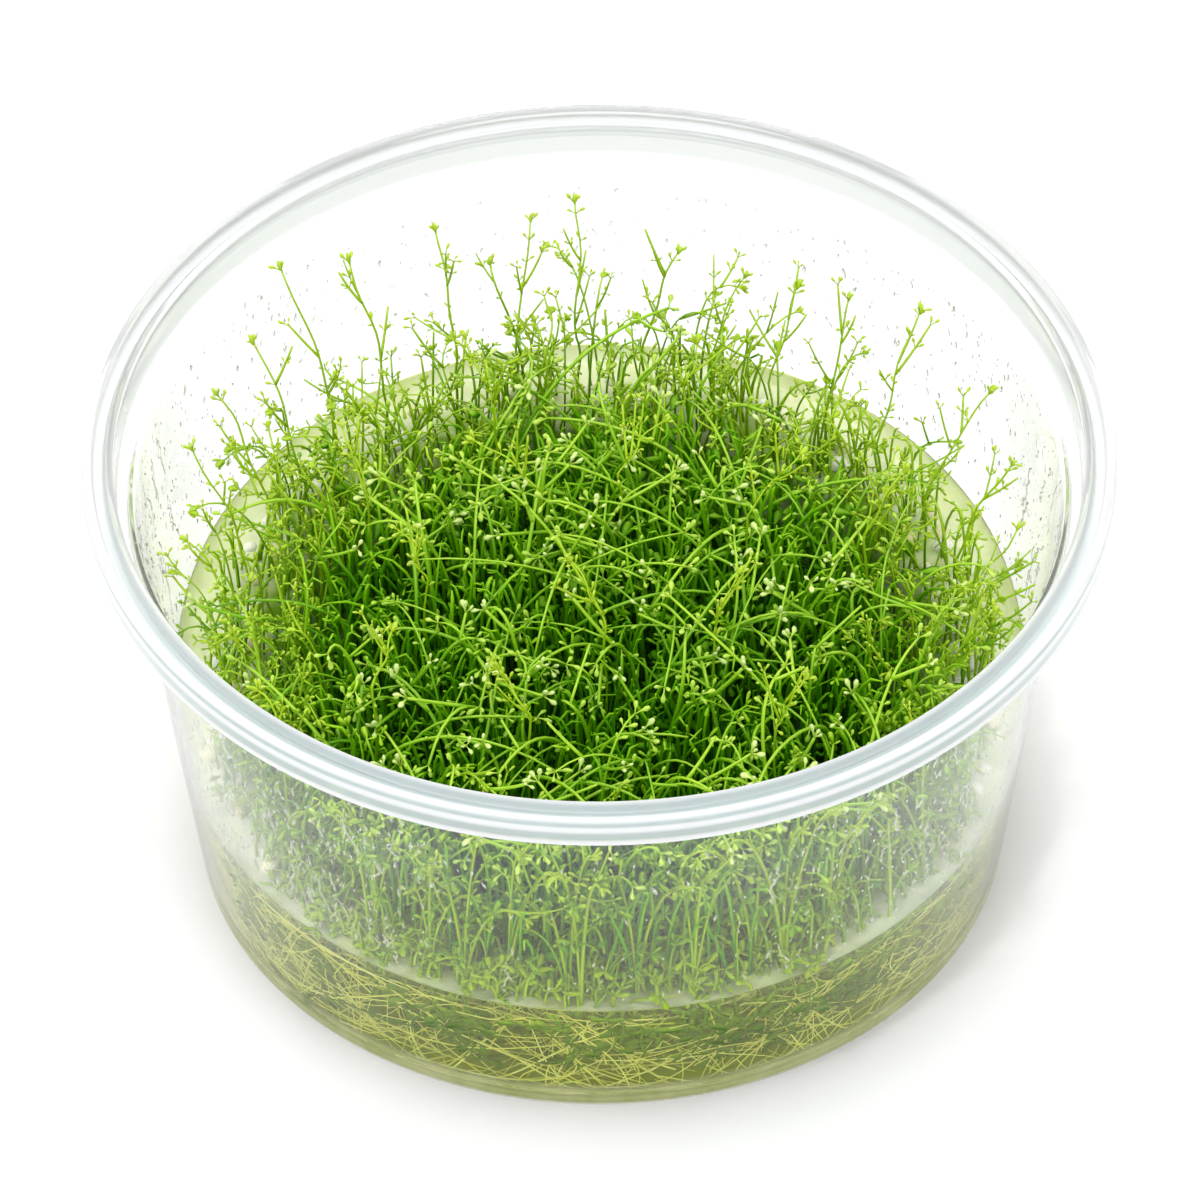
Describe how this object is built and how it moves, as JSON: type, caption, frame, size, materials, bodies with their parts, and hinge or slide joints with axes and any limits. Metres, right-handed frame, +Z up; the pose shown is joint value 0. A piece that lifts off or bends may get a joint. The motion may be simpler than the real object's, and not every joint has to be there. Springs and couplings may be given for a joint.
{
  "type": "utricularia graminifolia tissue culture cup",
  "caption": "Dense green turf of thin-stemmed small-leaved aquarium plants rooted in clear gel, in a round clear plastic culture cup with a lipped rim.",
  "frame": {"origin": "centre of the cup's foot, on the surface that it stands on", "axes": "+Z up along the cup's axis, +Y towards the side where the gel and the shoots are highest"},
  "size_m": [0.101, 0.101, 0.0499],
  "materials": {
    "cup_plastic": "clear moulded plastic, smooth, slightly milky",
    "culture_gel": "clear pale olive gel, wet and glossy",
    "roots": "thin pale cream roots and runners",
    "foliage": "bright to dark green stems and small leaves, softly glossy"
  },
  "bodies": {
    "root": {"cup": "cup_plastic", "gel_lower": "culture_gel", "gel_upper": "culture_gel", "root_mat": "roots", "turf": "foliage", "shoot_01": "foliage", "shoot_02": "foliage", "shoot_03": "foliage", "shoot_04": "foliage", "shoot_05": "foliage", "shoot_06": "foliage", "shoot_07": "foliage", "shoot_08": "foliage", "shoot_09": "foliage", "shoot_10": "foliage", "shoot_11": "foliage", "shoot_12": "foliage", "shoot_13": "foliage", "shoot_14": "foliage", "shoot_15": "foliage", "shoot_16": "foliage", "shoot_17": "foliage", "shoot_18": "foliage", "shoot_19": "foliage", "shoot_20": "foliage", "shoot_21": "foliage", "shoot_22": "foliage", "shoot_23": "foliage", "shoot_24": "foliage", "shoot_25": "foliage", "shoot_26": "foliage", "shoot_27": "foliage", "shoot_28": "foliage", "shoot_29": "foliage", "shoot_30": "foliage", "shoot_31": "foliage", "shoot_32": "foliage"}
  },
  "joints": []
}
